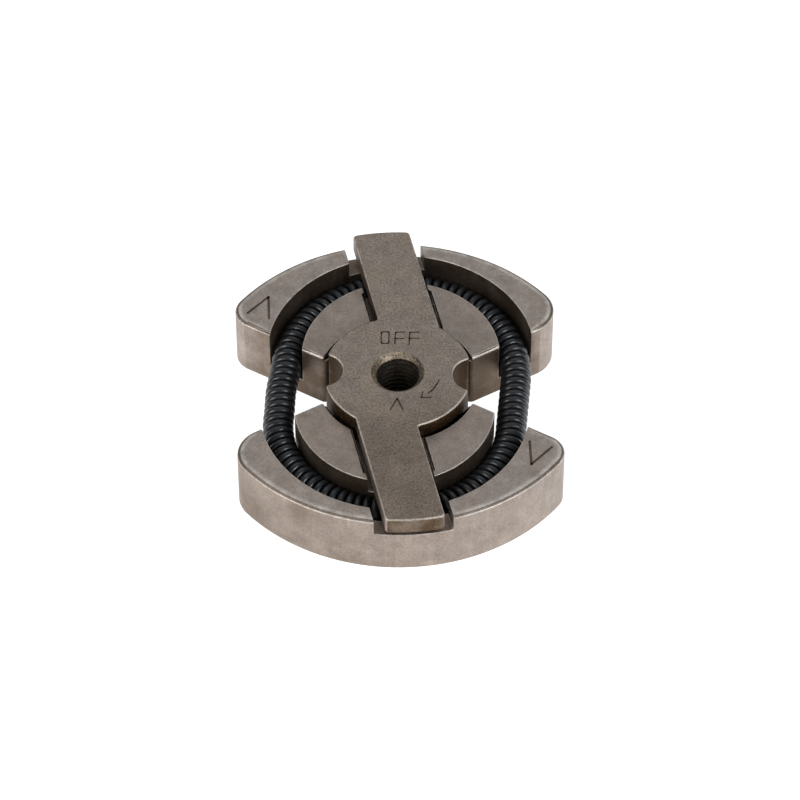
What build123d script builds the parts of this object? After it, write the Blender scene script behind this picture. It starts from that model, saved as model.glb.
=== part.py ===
from build123d import *
from math import atan2, cos, degrees, hypot, radians, sin
import os

# Two-shoe centrifugal clutch of a small garden machine, in millimetres.
# Origin on the bore axis at the underside, +Z up, +Y towards the rear shoe.

# Hub: a thick round boss with two flat driving arms that pass beside the axis
hub_height = 13.0
hub_radius = 12.0
hub_foot_chamfer = 0.4
bore_radius = 3.46          # minor radius of an M8 x 1 left-hand thread
bore_chamfer = 0.9
arm_thickness = 3.1
arm_width = 9.4
arm_offset = 4.1            # arm centre line to bore axis
arm_angle = 12.8            # arm direction from +Y, anticlockwise
arm_tip_radius = 31.4
arm_corner_radius = 0.7
arm_root_radius = 0.5
notch_radius = 3.35         # half-round spanner notches in the boss
notch_setback = 0.3         # notch centre outside the boss wall
notch_angle = -2.3
notch_corner_radius = 0.55
edge_rounding = 0.4

# Ring spring: a close-wound coil closed on itself, lying in both grooves
coil_radius = 2.55
wire_diameter = 1.2
coil_turns = 100
coil_sides = 12
coil_clearance = 0.15       # coil to groove floor and inner wall
coil_play = 0.45            # coil to groove outer wall
coil_headroom = 1.25        # coil to the underside of the arms

# Shoe: a base plate that carries an outer rim, a spring groove and an inner core
rim_drop = 1.85             # hub top to rim top
core_step = 0.2             # rim top to core top
face_radius = 32.3          # friction face, struck from its own centre
face_x = -0.19
face_y = -1.85
end_angle = 30.0            # end planes, measured from the X axis
end_apex = -2.25            # where the two end planes meet on the Y axis
left_corner_radius = 3.7
right_corner_radius = 5.3
core_corner_radius = 1.0
groove_x = 0.51
groove_y = 5.62
groove_inner_radius = 16.2
rim_chamfer = 0.5
core_chamfer = 0.35
boss_clearance = 0.35       # shoe to boss, all round
arm_clearance = 0.55        # core to arm, each side
arm_float = 1.8             # arm to slot floor
rim_slot_relief = 1.0       # rim stands back further than the core, each side
ledge_step = 0.4            # shallow ledge beside the arm, each side
ledge_rise = 0.7            # and round the boss
ledge_depth = 0.8
ledge_wall = 1.15           # what is left between ledge and groove

arm_underside = hub_height - arm_thickness
rim_top = hub_height - rim_drop
core_top = rim_top - core_step
slot_floor = arm_underside - arm_float
core_slot_width = arm_width + 2 * arm_clearance
rim_slot_width = core_slot_width + 2 * rim_slot_relief
ledge_width = core_slot_width + 2 * ledge_step
shoe_bore_radius = hub_radius + boss_clearance
path_radius = groove_inner_radius + coil_clearance + coil_radius
path_height = arm_underside - coil_headroom - coil_radius
groove_floor = path_height - coil_radius - coil_clearance
groove_outer_radius = path_radius + coil_radius + coil_play
slot_reach = arm_tip_radius + face_radius

arm_plane = Plane.XY.rotated((0, 0, arm_angle))
groove_center = Vector(groove_x, groove_y)
groove_center_on_arm = arm_plane.to_local_coords(groove_center)

# Hub, pressed and sintered as one piece
with BuildPart() as clutch_hub:
    with BuildSketch():
        Circle(hub_radius)
        with PolarLocations(hub_radius + notch_setback, 2, start_angle=notch_angle):
            Circle(notch_radius, mode=Mode.SUBTRACT)
    extrude(amount=hub_height)
    notch_corners = clutch_hub.edges().filter_by(Axis.Z).sort_by_distance((0, 0, 0))[-4:]
    fillet(notch_corners, notch_corner_radius)
    foot_edges = clutch_hub.faces().sort_by(Axis.Z)[0].edges()
    chamfer(foot_edges, hub_foot_chamfer)
    with BuildSketch(arm_plane.offset(arm_underside)) as arms:
        with Locations((arm_offset, 0)):
            Rectangle(arm_width, slot_reach, align=(Align.CENTER, Align.MIN))
        with Locations((-arm_offset, 0)):
            Rectangle(arm_width, slot_reach, align=(Align.CENTER, Align.MAX))
        Circle(arm_tip_radius, mode=Mode.INTERSECT)
        fillet(arms.vertices().sort_by_distance((0, 0))[-4:], arm_corner_radius)
    extrude(amount=arm_thickness)
    arm_roots = (
        clutch_hub.edges()
        .filter_by(Axis.Z)
        .filter_by(lambda edge: abs(edge.length - arm_thickness) < 0.01)
        .filter_by(lambda edge: abs(hypot(edge.center().X, edge.center().Y) - hub_radius) < 0.01)
    )
    fillet(arm_roots, arm_root_radius)
    top_edges = clutch_hub.faces().sort_by(Axis.Z)[-1].outer_wire().edges()
    fillet(top_edges, edge_rounding)
    Hole(bore_radius)
    bore_rims = clutch_hub.edges().filter_by(GeomType.CIRCLE)
    chamfer(bore_rims.filter_by(lambda edge: abs(edge.radius - bore_radius) < 0.001), bore_chamfer)

# Rear shoe, pressed and sintered as one piece
with BuildPart() as rear_shoe:
    with BuildSketch() as shoe_plan:
        end_reach = 2 * face_radius
        end_x = end_reach * cos(radians(end_angle))
        end_y = end_apex + end_reach * sin(radians(end_angle))
        with BuildLine():
            Polyline(
                (0, end_apex), (end_x, end_y), (end_x, end_reach), (-end_x, end_reach), (-end_x, end_y),
                close=True,
            )
        make_face()
        with Locations((face_x, face_y)):
            Circle(face_radius, mode=Mode.INTERSECT)
        Circle(shoe_bore_radius, mode=Mode.SUBTRACT)
        core_corners = shoe_plan.vertices().sort_by_distance((0, 0))[:2]
        fillet(core_corners, core_corner_radius)
        fillet(shoe_plan.vertices().sort_by(Axis.X)[0], left_corner_radius)
        fillet(shoe_plan.vertices().sort_by(Axis.X)[-1], right_corner_radius)
    extrude(amount=groove_floor)
    with BuildSketch(Plane.XY.offset(groove_floor)):
        add(shoe_plan.sketch)
        with Locations(groove_center):
            Circle(groove_inner_radius, mode=Mode.INTERSECT)
    extrude(amount=core_top - groove_floor)
    core_ends = rear_shoe.faces().sort_by(Axis.Z)[-1].edges().filter_by(GeomType.LINE)
    chamfer(core_ends, core_chamfer)
    with BuildSketch(Plane.XY.offset(groove_floor)):
        add(shoe_plan.sketch)
        with Locations(groove_center):
            Circle(groove_outer_radius, mode=Mode.SUBTRACT)
    extrude(amount=rim_top - groove_floor)
    rim_edges = rear_shoe.faces().sort_by(Axis.Z)[-1].edges()
    groove_edge = rim_edges.filter_by(GeomType.CIRCLE).sort_by(SortBy.RADIUS)[-2]
    chamfer(rim_edges.filter_by(lambda edge: edge != groove_edge), rim_chamfer)
    with BuildSketch(arm_plane.offset(slot_floor)):
        with Locations((arm_offset, 0)):
            Rectangle(rim_slot_width, slot_reach, align=(Align.CENTER, Align.MIN))
        with Locations(groove_center_on_arm):
            Circle(path_radius, mode=Mode.SUBTRACT)
        with Locations((arm_offset, 0)):
            Rectangle(core_slot_width, slot_reach, align=(Align.CENTER, Align.MIN))
    extrude(amount=rim_top - slot_floor, mode=Mode.SUBTRACT)
    with BuildSketch(arm_plane.offset(core_top - ledge_depth)):
        with Locations((arm_offset, 0)):
            Rectangle(ledge_width, slot_reach, align=(Align.CENTER, Align.MIN))
        Circle(shoe_bore_radius + ledge_rise)
        with Locations(groove_center_on_arm):
            Circle(groove_inner_radius - ledge_wall, mode=Mode.INTERSECT)
    extrude(amount=ledge_depth, mode=Mode.SUBTRACT)

# Front shoe, the same piece turned half round
with BuildPart() as front_shoe:
    add(rear_shoe.part, rotation=(0, 0, 180))

# Ring spring, a closed coil whose turns are ridges, their corners staggered so that every facet is flat
with BuildPart() as ring_spring:
    path_lean = degrees(atan2(groove_x, groove_y))
    with BuildLine(Plane.XY.offset(path_height)) as coil_path:
        rear_bend = CenterArc((groove_x, groove_y), path_radius, -path_lean, 180)
        Line(rear_bend @ 1, (rear_bend @ 0) * -1 + Vector(0, 0, 2 * path_height))
        front_bend = CenterArc((-groove_x, -groove_y), path_radius, 180 - path_lean, 180)
        Line(front_bend @ 1, rear_bend @ 0)
    ring = coil_path.wire()
    valleys_and_crests = []
    for step in range(2 * coil_turns):
        crest = step % 2
        place = step / (2 * coil_turns)
        section_plane = Plane(ring @ place, x_dir=(0, 0, 1), z_dir=ring % place)
        radius = coil_radius - (1 - crest) * wire_diameter / 2
        spread = PolarLocations(radius, coil_sides, start_angle=(1 - crest) * 180 / coil_sides)
        valleys_and_crests.append([(section_plane * spot).position for spot in spread.local_locations])
    facets = []
    for step in range(0, 2 * coil_turns, 2):
        valley = valleys_and_crests[step]
        for crest in (valleys_and_crests[step - 1], valleys_and_crests[step + 1]):
            for side in range(coil_sides):
                after = (side + 1) % coil_sides
                facets.append(Face(Wire.make_polygon([crest[side], crest[after], valley[side]])))
                facets.append(Face(Wire.make_polygon([valley[side], valley[after], crest[after]])))
    add(Solid(Shell(facets)))

pieces = {
    "clutch_hub": clutch_hub.part,
    "rear_shoe": rear_shoe.part,
    "front_shoe": front_shoe.part,
    "ring_spring": ring_spring.part,
}
os.makedirs("parts", exist_ok=True)
for name, piece in pieces.items():
    piece.label = name
    export_step(piece, f"parts/{name}.step")
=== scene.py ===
import bmesh
import bpy
from math import atan2, cos, hypot, pi, radians, sin
from mathutils import Matrix, Vector


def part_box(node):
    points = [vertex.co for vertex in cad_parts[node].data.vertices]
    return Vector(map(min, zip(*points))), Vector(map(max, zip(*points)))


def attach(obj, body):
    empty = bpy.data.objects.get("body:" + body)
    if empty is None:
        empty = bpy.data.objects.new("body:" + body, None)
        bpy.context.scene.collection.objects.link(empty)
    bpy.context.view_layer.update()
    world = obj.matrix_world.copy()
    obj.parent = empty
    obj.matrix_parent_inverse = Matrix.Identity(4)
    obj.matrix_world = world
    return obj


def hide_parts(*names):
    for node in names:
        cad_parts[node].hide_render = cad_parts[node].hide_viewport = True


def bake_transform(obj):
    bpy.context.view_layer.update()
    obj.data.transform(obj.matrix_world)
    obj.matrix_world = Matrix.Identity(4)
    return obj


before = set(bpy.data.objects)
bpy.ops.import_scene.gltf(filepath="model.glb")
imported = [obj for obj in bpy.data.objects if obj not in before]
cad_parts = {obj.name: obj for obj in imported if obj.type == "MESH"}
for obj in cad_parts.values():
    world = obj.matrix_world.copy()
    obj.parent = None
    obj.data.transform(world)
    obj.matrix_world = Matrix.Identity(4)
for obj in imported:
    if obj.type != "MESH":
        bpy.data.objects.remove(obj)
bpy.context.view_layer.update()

# Clutch hub
# One piece pressed from iron powder, sintered and steam-treated: a round boss with two flat driving arms.
# The bore is tapped with a left-hand thread, and the working marks are struck into the top face.


def merged_copy(cad_node):
    """A copy of a CAD node's mesh, its triangles joined into whole faces."""
    bm = bmesh.new()
    bm.from_mesh(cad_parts[cad_node].data)
    bmesh.ops.remove_doubles(bm, verts=bm.verts, dist=1e-6)
    bmesh.ops.dissolve_limit(bm, angle_limit=radians(0.4), verts=bm.verts, edges=bm.edges)
    bm.normal_update()
    return bm


def level_faces(bm, height):
    """The flat upward faces at a height."""
    return [face for face in bm.faces if face.normal.z > 0.999 and abs(face.calc_center_median().z - height) < 0.00002]


def set_border(bm, height, width):
    """Sets a narrow border round the flat faces at a height, and returns the corners inside it."""
    faces = level_faces(bm, height)
    rim = [edge for edge in {edge for face in faces for edge in face.edges}
           if sum(face in faces for face in edge.link_faces) == 1]

    def turn(vert):
        ways = [edge.other_vert(vert).co - vert.co for edge in rim if vert in edge.verts]
        return pi - ways[0].angle(ways[1])

    crowded = {}
    for edge in rim:
        blunt, sharp = sorted(edge.verts, key=turn)
        if edge.calc_length() < 1.5 * width and turn(sharp) > radians(40) > turn(blunt):
            crowded[blunt] = sharp
    bmesh.ops.weld_verts(bm, targetmap=crowded)
    faces = level_faces(bm, height)
    bmesh.ops.inset_region(bm, faces=faces, thickness=width, use_even_offset=True, use_boundary=True)
    return {vert for face in faces for vert in face.verts}


def round_edges(bm, edge_radius, least_angle, lowest):
    """Rounds the sharp edges from a height upwards slightly, as a tumbled pressing has them."""
    sharp = [edge for edge in bm.edges if edge.is_manifold and edge.calc_face_angle() > least_angle
             and min(vert.co.z for vert in edge.verts) >= lowest]
    bmesh.ops.bevel(bm, geom=sharp, offset=edge_radius, offset_type="OFFSET", affect="EDGES",
                    segments=2, profile=0.5, material=-1, clamp_overlap=False)
    bm.normal_update()


def split_faces(bm, faces, spot, across):
    """Cuts the given faces where a plane crosses them, so that a finish can fade out from there."""
    edges = {edge for face in faces for edge in face.edges}
    verts = {vert for face in faces for vert in face.verts}
    bmesh.ops.bisect_plane(bm, geom=[*verts, *edges, *faces], plane_co=spot, plane_no=across)


def weather(bm, rubbed_at, oxide_and_shade_at):
    """Notes at each face corner how far it is worn bright, with a painted glint on some of the hub's edges, and how
    much brown oxide it keeps, deepened in places by painted shade.
    """
    wear_and_glint = bm.loops.layers.float.new("wear_and_glint")
    oxide_and_shade = bm.loops.layers.float.new("oxide_and_shade")
    for face in bm.faces:
        for corner in face.loops:
            corner[wear_and_glint] = rubbed_at(corner.vert.co, face.normal)
            corner[oxide_and_shade] = oxide_and_shade_at(corner.vert.co, face.normal)
    return wear_and_glint


def rub_border(bm, height, inner_corners, rubbed_layer, rubbed_at):
    """Rubs the border of the flat faces at a height, fading out inwards."""
    for face in level_faces(bm, height):
        for corner in face.loops:
            corner[rubbed_layer] = 0.0 if corner.vert in inner_corners else rubbed_at(corner.vert.co)


def finished_piece(bm, name, materials):
    """An object from a bmesh, smooth-shaded with its flats kept flat."""
    mesh = bpy.data.meshes.new(name)
    bm.to_mesh(mesh)
    bm.free()
    mesh.shade_smooth()
    mesh.set_sharp_from_angle(angle=radians(50))
    piece = bpy.data.objects.new(name, mesh)
    bpy.context.scene.collection.objects.link(piece)
    for material in materials:
        mesh.materials.append(material)
    return piece


def strike(bm, start, end, width, top, depth, finish):
    """A bar along one stroke of a mark, for cutting it into a face at height top."""
    run = Vector(end) - Vector(start)
    middle = (Vector(start) + Vector(end)) / 2
    place = Matrix.Translation((middle.x, middle.y, top)) @ Matrix.Rotation(atan2(run.y, run.x), 4, "Z")
    size = Matrix.Diagonal((run.length + width * 0.8, width, 2 * depth, 1))
    bar = bmesh.ops.create_cube(bm, size=1, matrix=place @ size)
    for face in {face for vert in bar["verts"] for face in vert.link_faces}:
        face.material_index = finish


def cut(piece, cutter_bm):
    """Takes a closed cutter out of a piece for good."""
    cutter_mesh = bpy.data.meshes.new("cutter")
    cutter_bm.to_mesh(cutter_mesh)
    cutter_bm.free()
    for material in piece.data.materials:
        cutter_mesh.materials.append(material)
    cutter = bpy.data.objects.new("cutter", cutter_mesh)
    bpy.context.scene.collection.objects.link(cutter)
    boolean = piece.modifiers.new("cut", "BOOLEAN")
    boolean.object = cutter
    boolean.operation = "DIFFERENCE"
    boolean.solver = "EXACT"
    boolean.use_self = True
    shaped = bpy.data.meshes.new_from_object(piece.evaluated_get(bpy.context.evaluated_depsgraph_get()))
    piece.modifiers.remove(boolean)
    old_mesh = piece.data
    piece.data = shaped
    bpy.data.meshes.remove(old_mesh)
    bpy.data.objects.remove(cutter)
    bpy.data.meshes.remove(cutter_mesh)


def node(tree, kind, **settings):
    """A new shader node. Settings name its inputs, or its own properties, and a socket is linked."""
    made = tree.nodes.new(kind)
    for key, value in settings.items():
        if key not in made.inputs:
            setattr(made, key, value)
        elif isinstance(value, bpy.types.NodeSocket):
            tree.links.new(value, made.inputs[key])
        else:
            made.inputs[key].default_value = value
    return made


def spread(tree, value, low, high, to_low=0.0, to_high=1.0):
    """The socket of a value spread from one range to another."""
    return node(tree, "ShaderNodeMapRange", **{
        "Value": value, "From Min": low, "From Max": high, "To Min": to_low, "To Max": to_high}).outputs["Result"]


def reckon(tree, operation, *values):
    """The socket of a sum, product or other reckoning."""
    made = node(tree, "ShaderNodeMath", operation=operation)
    for place, value in zip(made.inputs, values):
        if isinstance(value, bpy.types.NodeSocket):
            tree.links.new(value, place)
        else:
            place.default_value = value
    return made.outputs["Value"]


def lay_over(tree, share, under, over, blend_type="MIX"):
    """The socket of one colour laid over another."""
    mix = node(tree, "ShaderNodeMix", data_type="RGBA", blend_type=blend_type)
    for place, value in ((mix.inputs[0], share), (mix.inputs[6], under), (mix.inputs[7], over)):
        if isinstance(value, bpy.types.NodeSocket):
            tree.links.new(value, place)
        else:
            place.default_value = value
    return mix.outputs[2]


# Skin of sintered iron: mottled oxide with ochre patches, fine speckle, open pores that show as dark pits,
# faint drawn streaks down the walls, brown oxide where nothing rubs, deepened by painted shade in hollows and gaps and
# on edges facing away, and bright metal along the edges, on some of the hub's edges a painted glint
skin_group = bpy.data.node_groups.new("sintered_skin", "ShaderNodeTree")
for colour in ("Dark", "Light", "Ochre", "Brown", "Bright"):
    skin_group.interface.new_socket(colour, in_out="INPUT", socket_type="NodeSocketColor")
for amount in ("Ochre Share", "Speckle", "Pit Cover", "Metal", "Roughness"):
    skin_group.interface.new_socket(amount, in_out="INPUT", socket_type="NodeSocketFloat")
skin_group.interface.new_socket("Color", in_out="OUTPUT", socket_type="NodeSocketColor")
for mask in ("Metallic", "Roughness", "Height"):
    skin_group.interface.new_socket(mask, in_out="OUTPUT", socket_type="NodeSocketFloat")
given = node(skin_group, "NodeGroupInput").outputs
where = node(skin_group, "ShaderNodeTexCoord").outputs["Object"]
drawn = node(skin_group, "ShaderNodeMapping", Vector=where, Scale=(1, 1, 0.05)).outputs["Vector"]
mottle = node(skin_group, "ShaderNodeTexNoise", Vector=where, Scale=420.0, Detail=4.0, Roughness=0.65).outputs["Fac"]
speckle = node(skin_group, "ShaderNodeTexNoise", Vector=where, Scale=3000.0, Detail=2.0, Roughness=0.7).outputs["Fac"]
tint = node(skin_group, "ShaderNodeTexNoise", Vector=where, Scale=150.0, Detail=3.0, Roughness=0.6).outputs["Fac"]
streak = node(skin_group, "ShaderNodeTexNoise", Vector=drawn, Scale=750.0, Detail=3.0, Roughness=0.6).outputs["Fac"]
pore_field = node(skin_group, "ShaderNodeTexNoise", Vector=where, Scale=110.0, Detail=2.0, Roughness=0.5).outputs["Fac"]
pores = node(skin_group, "ShaderNodeTexVoronoi", Vector=where, Scale=900.0, Randomness=1.0).outputs["Distance"]
pore_reach = reckon(skin_group, "MULTIPLY", spread(skin_group, pore_field, 0.45, 0.72, 0.03, 0.24), given["Pit Cover"])
pits = spread(skin_group, reckon(skin_group, "SUBTRACT", pore_reach, pores), 0.0, 0.12)
oxide = lay_over(skin_group, spread(skin_group, mottle, 0.3, 0.7), given["Dark"], given["Light"])
oxide = lay_over(skin_group, spread(skin_group, tint, 0.5, 0.72, 0.0, given["Ochre Share"]), oxide, given["Ochre"])
# Brown share: oxide, and painted shade where the masks add it
oxide_and_shade = node(skin_group, "ShaderNodeAttribute", attribute_name="oxide_and_shade").outputs["Fac"]
brown_share = reckon(skin_group, "MULTIPLY", oxide_and_shade, spread(skin_group, tint, 0.35, 0.65, 1.3, 0.7))
oxide = lay_over(skin_group, brown_share, oxide, given["Brown"])
darker = reckon(skin_group, "SUBTRACT", 1.0, given["Speckle"])
lighter = reckon(skin_group, "ADD", 1.0, given["Speckle"])
oxide = lay_over(skin_group, 1.0, oxide, spread(skin_group, speckle, 0.32, 0.68, darker, lighter), "MULTIPLY")
oxide = lay_over(skin_group, 1.0, oxide, spread(skin_group, streak, 0.3, 0.7, 0.92, 1.08), "MULTIPLY")
oxide = lay_over(skin_group, pits, oxide, (0.03, 0.026, 0.024, 1))
# Worn bright metal along the edges, on some of the hub's edges a painted glint
wear_and_glint = node(skin_group, "ShaderNodeAttribute", attribute_name="wear_and_glint").outputs["Fac"]
bare_and_glint = reckon(skin_group, "MULTIPLY", wear_and_glint, spread(skin_group, mottle, 0.36, 0.6, 0.3, 1.0))
grit = spread(skin_group, speckle, 0.25, 0.75, -0.08, 0.1)
leave = node(skin_group, "NodeGroupOutput")
for socket, value in (
        ("Color", lay_over(skin_group, bare_and_glint, oxide, given["Bright"])),
        ("Metallic", spread(skin_group, bare_and_glint, 0.0, 1.0, given["Metal"], 0.45)),
        ("Roughness", reckon(skin_group, "ADD", given["Roughness"], grit)),
        ("Height", reckon(skin_group, "MULTIPLY_ADD", pits, -0.8, speckle))):
    skin_group.links.new(value, leave.inputs[socket])


def sintered_finish(name, relief, **skin_values):
    """A material with the sintered skin. The values are named as the skin's inputs are, with _ for a space."""
    material = bpy.data.materials.new(name)
    material.use_nodes = True
    tree = material.node_tree
    surface = tree.nodes["Principled BSDF"]
    skin = node(tree, "ShaderNodeGroup", node_tree=skin_group)
    for socket, value in skin_values.items():
        skin.inputs[socket.replace("_", " ")].default_value = value if isinstance(value, float) else (*value, 1)
    for socket, target in (("Color", "Base Color"), ("Metallic", "Metallic"), ("Roughness", "Roughness")):
        tree.links.new(skin.outputs[socket], surface.inputs[target])
    bump = node(tree, "ShaderNodeBump", Height=skin.outputs["Height"], Strength=relief, Distance=0.00006)
    tree.links.new(bump.outputs["Normal"], surface.inputs["Normal"])
    return material


hub_iron = sintered_finish(
    "sintered_hub", relief=0.35, Dark=(0.325, 0.275, 0.238), Light=(0.43, 0.368, 0.318), Ochre=(0.44, 0.355, 0.265),
    Ochre_Share=0.45, Brown=(0.085, 0.048, 0.022), Bright=(0.82, 0.76, 0.68), Speckle=0.4, Pit_Cover=0.9,
    Metal=0.85, Roughness=0.5)
mark_iron = sintered_finish(
    "struck_marks", relief=0.2, Dark=(0.085, 0.068, 0.055), Light=(0.19, 0.14, 0.10), Ochre=(0.24, 0.15, 0.08),
    Ochre_Share=0.8, Brown=(0.05, 0.04, 0.035), Bright=(0.2, 0.17, 0.14), Speckle=0.2, Pit_Cover=0.0,
    Metal=0.7, Roughness=0.5)
# The tapped thread is coloured near black, painted shade deep in the bore; its crests are a little lighter
shaded_thread_iron = sintered_finish(
    "tapped_thread_shaded", relief=0.25, Dark=(0.016, 0.014, 0.012), Light=(0.055, 0.044, 0.034), Ochre=(0.17, 0.115, 0.07),
    Ochre_Share=0.6, Brown=(0.012, 0.010, 0.009), Bright=(0.30, 0.25, 0.19), Speckle=0.3, Pit_Cover=0.0,
    Metal=0.85, Roughness=0.42)
chamfer_iron = sintered_finish(
    "bore_chamfer", relief=0.5, Dark=(0.16, 0.125, 0.092), Light=(0.37, 0.30, 0.22), Ochre=(0.45, 0.33, 0.205),
    Ochre_Share=0.7, Brown=(0.085, 0.072, 0.06), Bright=(0.62, 0.54, 0.43), Speckle=0.75, Pit_Cover=1.2,
    Metal=0.6, Roughness=0.5)

arm_angle = radians(12.8)
arm_direction = Vector((-sin(arm_angle), cos(arm_angle), 0))
boss_reach, bore_reach = 0.0125, 0.0046
darkening, darkened = -0.002, -0.013
hub_edge_radius = 0.00015
hub_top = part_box("clutch_hub")[1][2]


def hub_wear_and_glint(spot, normal):
    """The rounded top edges are worn bright where they turn over, with a painted glint: full on edges facing the sides,
    less on those facing front, none on those facing back. The bore's edge only a little.
    """
    if spot.xy.length < bore_reach and abs(normal.z) < 0.3:
        return 0.5
    if spot.z < hub_top - 0.0005 or normal.z > 0.97:
        return 0.0
    if spot.xy.length < bore_reach + 0.0003:
        return 0.3 if normal.z > 0.75 else 0.0
    # Painted glint: edges facing back get none, those facing front less than those facing the sides
    turned = max(0.0, 1 - abs(normal.z - 0.72) / 0.35)
    return 0.0 if normal.y > 0.3 else turned if abs(normal.x) > 0.35 else 0.65 * turned


def hub_oxide_and_shade(spot, normal):
    """The boss's wall and the bore keep their brown oxide, the boss's wall darkened further by painted shade, the arms'
    walls less, the rounded edges facing back get a painted dark reflection, and the front arm has darkened.
    """
    if spot.xy.length < bore_reach and normal.z < 0.95:
        return 0.8 * max(0.0, spot.x / bore_reach) if normal.z > 0.3 else 0.0
    if normal.z > 0.97:
        return 0.3 * min(max((spot.dot(arm_direction) - darkening) / (darkened - darkening), 0.0), 1.0)
    # Painted dark reflection on the rounded edges that face back
    if normal.z > 0.3:
        return 0.6 if normal.y > 0.3 else 0.1
    # The boss's wall: brown oxide, made darker as painted shade from the narrow gap to the shoes
    if spot.xy.length < boss_reach:
        return 1.0
    return 0.9 if abs(normal.dot(arm_direction)) > 0.8 else 0.2


hub_bm = merged_copy("clutch_hub")
round_edges(hub_bm, hub_edge_radius, radians(38), 0.001)
for reach in (darkening, darkened):
    split_faces(hub_bm, hub_bm.faces[:], arm_direction * reach, arm_direction)
weather(hub_bm, hub_wear_and_glint, hub_oxide_and_shade)
for face in hub_bm.faces:
    if face.calc_center_median().xy.length < bore_reach and 0.5 < face.normal.z < 0.95:
        face.material_index = 3
    elif face.calc_center_median().xy.length < bore_reach and abs(face.normal.z) < 0.3:
        face.material_index = 1
hub = finished_piece(hub_bm, "hub", (hub_iron, shaded_thread_iron, mark_iron, chamfer_iron))

# Left-hand thread, M8 x 1, from above the bore to below it
thread_pitch = 0.001
thread_root, thread_mouth = 0.00402, 0.0033
thread_turns, thread_steps = 13, 32
thread_start, thread_start_angle = 0.0120, radians(22)
thread = bmesh.new()
outward = Vector((cos(thread_start_angle), sin(thread_start_angle), 0))
flanks = [thread.verts.new(outward * radius + Vector((0, 0, thread_start + rise))) for radius, rise in (
    (thread_mouth, -0.00048), (thread_root, -0.00007), (thread_root, 0.00007), (thread_mouth, 0.00048))]
outline = [thread.edges.new((flanks[i], flanks[(i + 1) % 4])) for i in range(4)]
bmesh.ops.spin(thread, geom=flanks + outline, cent=(0, 0, 0), axis=(0, 0, 1),
               dvec=(0, 0, -thread_pitch / thread_steps), angle=2 * pi * thread_turns,
               steps=thread_steps * thread_turns, use_merge=False)
bmesh.ops.holes_fill(thread, edges=thread.edges, sides=4)
bmesh.ops.recalc_face_normals(thread, faces=thread.faces)
for face in thread.faces:
    face.material_index = 1
cut(hub, thread)

# Marks on the top face: the direction in which the hub comes off, and a chevron that lines up with the shoes
mark_width, mark_depth = 0.00026, 0.00010
marks = bmesh.new()
strokes_mm = (
    ((-2.50, 8.72), (-1.62, 8.72)), ((-2.67, 8.45), (-2.69, 6.42)), ((-1.42, 8.45), (-1.45, 6.42)),
    ((-2.50, 6.15), (-1.64, 6.15)), ((-2.50, 8.72), (-2.67, 8.45)), ((-1.62, 8.72), (-1.42, 8.45)),
    ((-2.69, 6.42), (-2.50, 6.15)), ((-1.45, 6.42), (-1.64, 6.15)),
    ((-0.33, 8.61), (-0.48, 6.04)), ((-0.33, 8.61), (1.07, 8.61)), ((-0.40, 7.22), (0.94, 7.22)),
    ((1.97, 8.61), (1.85, 5.90)), ((1.97, 8.61), (3.44, 8.61)), ((1.90, 7.28), (3.39, 7.28)),
    ((6.71, -1.84), (6.38, -2.67)), ((6.38, -2.67), (5.99, -3.40)), ((5.99, -3.40), (5.50, -4.11)),
    ((5.50, -4.11), (4.95, -4.70)), ((3.83, -5.64), (4.02, -4.42)), ((3.83, -5.64), (5.32, -5.58)),
    ((-0.08, -5.82), (-1.17, -8.20)), ((-0.08, -5.82), (0.84, -8.26)),
)
for start, end in strokes_mm:
    strike(marks, (start[0] / 1000, start[1] / 1000, 0), (end[0] / 1000, end[1] / 1000, 0),
           mark_width, hub_top, mark_depth, 2)
cut(hub, marks)
hub.modifiers.new("flat_faces", "WEIGHTED_NORMAL").keep_sharp = True
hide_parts("clutch_hub")
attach(hub, "hub")

# Friction shoes
# Two like pieces, each pressed and sintered in one: a base plate with an outer rim, a spring groove and an inner core.
# They slide on the hub's arms, and their edges are rubbed bright from tumbling and handling.
shoe_iron = sintered_finish(
    "sintered_shoe", relief=0.18, Dark=(0.385, 0.332, 0.298), Light=(0.52, 0.455, 0.415), Ochre=(0.46, 0.37, 0.29),
    Ochre_Share=0.4, Brown=(0.165, 0.118, 0.082), Bright=(0.90, 0.85, 0.79), Speckle=0.2, Pit_Cover=0.3,
    Metal=0.85, Roughness=0.46)
shoe_edge_radius, rim_border = 0.00014, 0.0008
chamfer_height, chamfer_shift, chamfer_lift = 0.0005, 0.00012, 0.00013
face_radius, face_offset = 0.0323, Vector((-0.00019, -0.00185, 0))
groove_outer_radius, groove_offset = 0.0219, Vector((0.00051, 0.00562, 0))
end_wall_fade = (0.0209, 0.0245)
shoe_mark_width, shoe_mark_depth = 0.00042, 0.00010
chevron_mm = ((-21.34, 18.18), (-24.70, 14.55), (-21.16, 13.37))


def shoe_rubbed(spot, normal, side):
    """The edges are bare metal where they turn down to the walls, and the upright edges hardly at all."""
    if abs(normal.z) < 0.1:
        return 0.0
    if 0.1 < normal.z < 0.8:
        return 0.45
    return 0.7 if 0.9 < normal.z < 0.998 else 0.0


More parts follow.
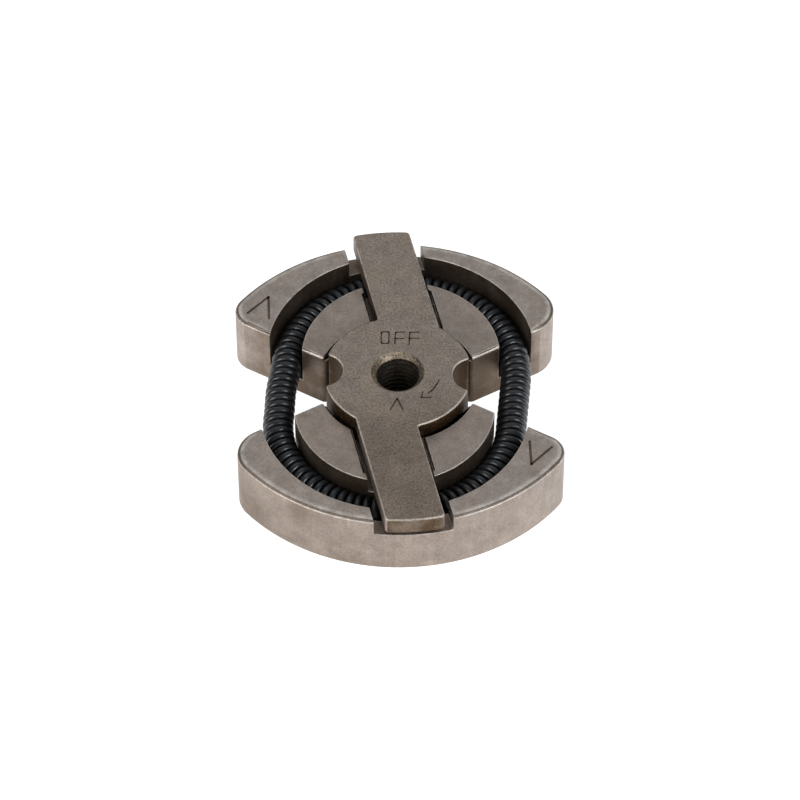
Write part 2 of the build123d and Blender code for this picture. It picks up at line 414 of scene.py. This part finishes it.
def shoe_oxide_and_shade(spot, normal, side):
    """Groove, slot and core walls keep their brown oxide, and painted shade is added: a band on the top chamfer, the
    floors below the rim, the groove's outer wall, the friction face darker towards the left, and the end walls darker
    towards the groove, fading out along the rim.
    """
    if normal.z > 0.3:
        below_rim = rim_top - spot.z
        if below_rim < 0.0007:
            # Painted dark reflection: a brown band on the top chamfer
            if 0.8 < normal.z < 0.9:
                return 0.55
            return 0.2 if below_rim > 0.00015 and (spot - side * groove_offset).xy.length < 0.0165 else 0.0
        # Painted shade on the floors below the rim: ledges, slots and groove
        return 1.0 if below_rim < 0.0015 else 0.6
    # Friction face: brown oxide, painted darker towards the left and lighter towards the right as painted light from
    # the right
    if (spot - side * face_offset).xy.length > face_radius - 0.0005:
        return 0.5 - 0.15 * spot.x / 0.024
    from_groove = (spot - side * groove_offset).xy
    # The groove's outer wall: brown oxide deepened by painted shade
    if from_groove.length < groove_outer_radius + 0.0003 and abs(normal.xy.dot(from_groove.normalized())) > 0.9:
        return 0.85
    # End walls: painted shade, darkest towards the groove and spring, fading out towards the rim's ends
    if side * normal.y < -0.8:
        faded = (abs(spot.x) - end_wall_fade[0]) / (end_wall_fade[1] - end_wall_fade[0])
        return 1.0 - 0.5 * min(max(faded, 0.0), 1.0)
    return 0.35


for shoe_node, shoe_name, body, side in (
        ("rear_shoe", "shoe_rear", "shoe_rear", 1), ("front_shoe", "shoe_front", "shoe_front", -1)):
    rim_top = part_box(shoe_node)[1][2]
    shoe_bm = merged_copy(shoe_node)
    inner_corners = set_border(shoe_bm, rim_top, rim_border)
    for vert in shoe_bm.verts:
        slopes = [face.normal for face in vert.link_faces if 0.69 < face.normal.z < 0.72]
        if slopes and abs(vert.co.z - rim_top + chamfer_height) < 0.00001:
            vert.co.z += chamfer_lift
        elif slopes and rim_top - vert.co.z < 0.00001 and (
                (vert.co - side * groove_offset).xy.length > groove_outer_radius + 0.00005):
            outward = sum(slopes, Vector())
            vert.co -= Vector((outward.x, outward.y, 0)).normalized() * chamfer_shift
    shoe_bm.normal_update()
    round_edges(shoe_bm, shoe_edge_radius, radians(25), -0.001)
    # Cut the end walls where their painted shade fades out
    for reach in end_wall_fade:
        for edge_side in (1, -1):
            end_walls = [face for face in shoe_bm.faces if abs(face.normal.z) < 0.05 and side * face.normal.y < -0.8]
            split_faces(shoe_bm, end_walls, (edge_side * reach, 0, 0), (1, 0, 0))
    rubbed_layer = weather(shoe_bm, lambda spot, normal: shoe_rubbed(spot, normal, side),
                           lambda spot, normal: shoe_oxide_and_shade(spot, normal, side))
    rub_border(shoe_bm, rim_top, inner_corners, rubbed_layer, lambda spot: (
        0.7 if (spot - side * groove_offset).xy.length > groove_outer_radius + 0.0005 else 0.0))
    shoe = finished_piece(shoe_bm, shoe_name, (shoe_iron, mark_iron))
    chevron = bmesh.new()
    tip = Vector((*chevron_mm[0], 0)) * side / 1000
    for foot in chevron_mm[1:]:
        strike(chevron, tip, Vector((*foot, 0)) * side / 1000, shoe_mark_width, rim_top, shoe_mark_depth, 1)
    cut(shoe, chevron)
    shoe.modifiers.new("flat_faces", "WEIGHTED_NORMAL").keep_sharp = True
    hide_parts(shoe_node)
    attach(shoe, body)

# Ring spring
# Black oxidised spring wire, wound close into a long straight coil that is bent round and hooked to itself.
# It lies loose in both grooves, laid here as two halves, rear and front; in use each half follows its shoe and the
# straight runs between them stretch.
black_wire = bpy.data.materials.new("black_spring")
black_wire.use_nodes = True
tree = black_wire.node_tree
surface = tree.nodes["Principled BSDF"]
surface.inputs["Specular IOR Level"].default_value = 0.7
where = node(tree, "ShaderNodeTexCoord").outputs["Object"]
patches = node(tree, "ShaderNodeTexNoise", Vector=where, Scale=420.0, Detail=4.0, Roughness=0.65).outputs["Fac"]
oxide = lay_over(tree, spread(tree, patches, 0.3, 0.7), (0.008, 0.010, 0.013, 1), (0.018, 0.022, 0.028, 1))
tree.links.new(oxide, surface.inputs["Base Color"])
tree.links.new(spread(tree, patches, 0.25, 0.75, 0.27, 0.33), surface.inputs["Roughness"])

bend_radius, bend_x, bend_y, coil_height = 0.0189, 0.00051, 0.00562, 0.0061
left_bow = 0.00025
coil_radius, wire_radius, half_turns, turn_steps = 0.00255, 0.00060, 50, 22
lean = atan2(bend_x, bend_y)
ring_path = bpy.data.curves.new("ring_path", "CURVE")
ring_path.dimensions = "3D"
ring_path.twist_mode = "Z_UP"
ring_path.resolution_u = 64
ring_line = ring_path.splines.new("BEZIER")
ring_line.bezier_points.add(7)
ring_line.use_cyclic_u = True
reach = 0.5522847 * bend_radius
along = Vector((cos(-lean), sin(-lean), 0))
across = Vector((-sin(-lean), cos(-lean), 0))
rear_centre = Vector((bend_x, bend_y, coil_height))
front_centre = Vector((-bend_x, -bend_y, coil_height))
straight = (rear_centre + along * bend_radius) - (front_centre + along * bend_radius)
corners = (
    ((rear_centre + front_centre) / 2 + along * bend_radius, straight.normalized(), straight.length / 6, straight.length / 6),
    (rear_centre + along * bend_radius, across, straight.length / 6, reach),
    (rear_centre + across * bend_radius, -along, reach, reach),
    (rear_centre - along * bend_radius, -across, reach, straight.length / 6),
    ((rear_centre + front_centre) / 2 - along * (bend_radius + left_bow), -straight.normalized(), straight.length / 6, straight.length / 6),
    (front_centre - along * bend_radius, -across, straight.length / 6, reach),
    (front_centre - across * bend_radius, along, reach, reach),
    (front_centre + along * bend_radius, across, reach, straight.length / 6),
)
for point, (spot, heading, behind, ahead) in zip(ring_line.bezier_points, corners):
    point.handle_left_type = point.handle_right_type = "FREE"
    point.co = spot
    point.handle_left = spot - heading * behind
    point.handle_right = spot + heading * ahead
ring_object = bpy.data.objects.new("ring_path", ring_path)
bpy.context.scene.collection.objects.link(ring_object)
half_length = pi * bend_radius + straight.length

for half_name, body, first, sign in (("spring_rear", "shoe_rear", 0.0, 1), ("spring_front", "shoe_front", half_length, -1)):
    coil = bmesh.new()
    bmesh.ops.create_circle(coil, cap_ends=False, segments=10, radius=wire_radius,
                            matrix=Matrix.Translation((first, 0, coil_radius - wire_radius)) @ Matrix.Rotation(pi / 2, 4, "Y")
                            @ Matrix.Rotation(pi / 2, 4, "X"))
    bmesh.ops.spin(coil, geom=coil.verts[:] + coil.edges[:], cent=(0, 0, 0), axis=(1, 0, 0),
                   dvec=(half_length / (half_turns * turn_steps), 0, 0), angle=2 * pi * half_turns,
                   steps=half_turns * turn_steps, use_merge=False)
    bmesh.ops.holes_fill(coil, edges=coil.edges, sides=10)
    bmesh.ops.recalc_face_normals(coil, faces=coil.faces)
    straight_coil = finished_piece(coil, half_name, (black_wire,))
    lay = straight_coil.modifiers.new("lay_in_grooves", "CURVE")
    lay.object = ring_object
    lay.deform_axis = "POS_X"
    laid = bpy.data.meshes.new_from_object(straight_coil.evaluated_get(bpy.context.evaluated_depsgraph_get()))
    straight_coil.modifiers.remove(lay)
    unlaid = straight_coil.data
    straight_coil.data = laid
    bpy.data.meshes.remove(unlaid)
    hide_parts("ring_spring")
    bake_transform(straight_coil)
bpy.data.objects.remove(ring_object)
bpy.data.curves.remove(ring_path)

# Studio
# A luminous white table, as for catalogue pictures, with a large soft light behind and above and one at each side of
# the camera. The table gives less light behind the part, and none under the hub.
floor_bm = bmesh.new()
bmesh.ops.create_grid(floor_bm, x_segments=1, y_segments=1, size=1.5, matrix=Matrix.Translation((0, 0, -0.00005)))
white_table = bpy.data.materials.new("white_table")
white_table.use_nodes = True
tree = white_table.node_tree
surface = tree.nodes["Principled BSDF"]
surface.inputs["Roughness"].default_value = 0.9
surface.inputs["Specular IOR Level"].default_value = 0.0
surface.inputs["Emission Strength"].default_value = 1.0
where = node(tree, "ShaderNodeTexCoord").outputs["Object"]
depth = node(tree, "ShaderNodeSeparateXYZ", Vector=where).outputs["Y"]
narrowed = node(tree, "ShaderNodeMapping", Vector=where, Scale=(0.58, 1, 1)).outputs["Vector"]
middle = node(tree, "ShaderNodeVectorMath", operation="LENGTH", Vector=narrowed).outputs["Value"]
uncovered = spread(tree, middle, 0.003, 0.014)
cast = spread(tree, depth, 0.028, 0.060, 1.0, 0.3)
seen = node(tree, "ShaderNodeLightPath").outputs["Is Camera Ray"]
glow = reckon(tree, "MAXIMUM", reckon(tree, "MULTIPLY", uncovered, cast), seen)
tree.links.new(lay_over(tree, glow, (0, 0, 0, 1), (1, 1, 1, 1)), surface.inputs["Emission Color"])
# Painted shade: the table's colour is black under the hub too, so the bore gets no light from below
tree.links.new(lay_over(tree, uncovered, (0, 0, 0, 1), (0.55, 0.55, 0.55, 1)), surface.inputs["Base Color"])
from_below = node(tree, "ShaderNodeNewGeometry").outputs["Backfacing"]
clear = node(tree, "ShaderNodeMixShader", Fac=from_below)
tree.links.new(surface.outputs["BSDF"], clear.inputs[1])
tree.links.new(node(tree, "ShaderNodeBsdfTransparent").outputs["BSDF"], clear.inputs[2])
tree.links.new(clear.outputs["Shader"], tree.nodes["Material Output"].inputs["Surface"])
table = finished_piece(floor_bm, "table", (white_table,))

world = bpy.data.worlds.new("studio")
world.use_nodes = True
room = world.node_tree.nodes["Background"]
room.inputs["Color"].default_value = (1, 1, 1, 1)
seen = node(world.node_tree, "ShaderNodeLightPath").outputs["Is Camera Ray"]
world.node_tree.links.new(spread(world.node_tree, seen, 0.0, 1.0, 0.23, 1.0), room.inputs["Strength"])
bpy.context.scene.world = world

for light_name, spot, size, watts, colour in (
        ("back_softbox", (0.0, 0.40, 0.62), 0.75, 0.67, (1, 1, 1)),
        ("left_softbox", (-0.40, -0.40, 0.34), 0.30, 1.5, (1.0, 0.97, 0.93)),
        ("right_softbox", (0.42, -0.39, 0.36), 0.30, 1.7, (0.92, 0.96, 1.0))):
    lamp = bpy.data.lights.new(light_name, "AREA")
    lamp.shape = "SQUARE"
    lamp.size = size
    lamp.energy = watts
    lamp.color = colour
    lamp_object = bpy.data.objects.new(light_name, lamp)
    lamp_object.location = spot
    lamp_object.rotation_euler = (Vector((0, 0, 0.006)) - Vector(spot)).to_track_quat("-Z", "Y").to_euler()
    bpy.context.scene.collection.objects.link(lamp_object)

lens = bpy.data.cameras.new("photo_lens")
lens.sensor_width = 36
lens.lens = 197.3
camera = bpy.data.objects.new("camera", lens)
camera.location = (0.00037, -0.47378, 0.54222)
camera.rotation_euler = (radians(41.464), 0, 0)
bpy.context.scene.collection.objects.link(camera)
bpy.context.scene.camera = camera
bpy.context.scene.view_settings.view_transform = "Standard"
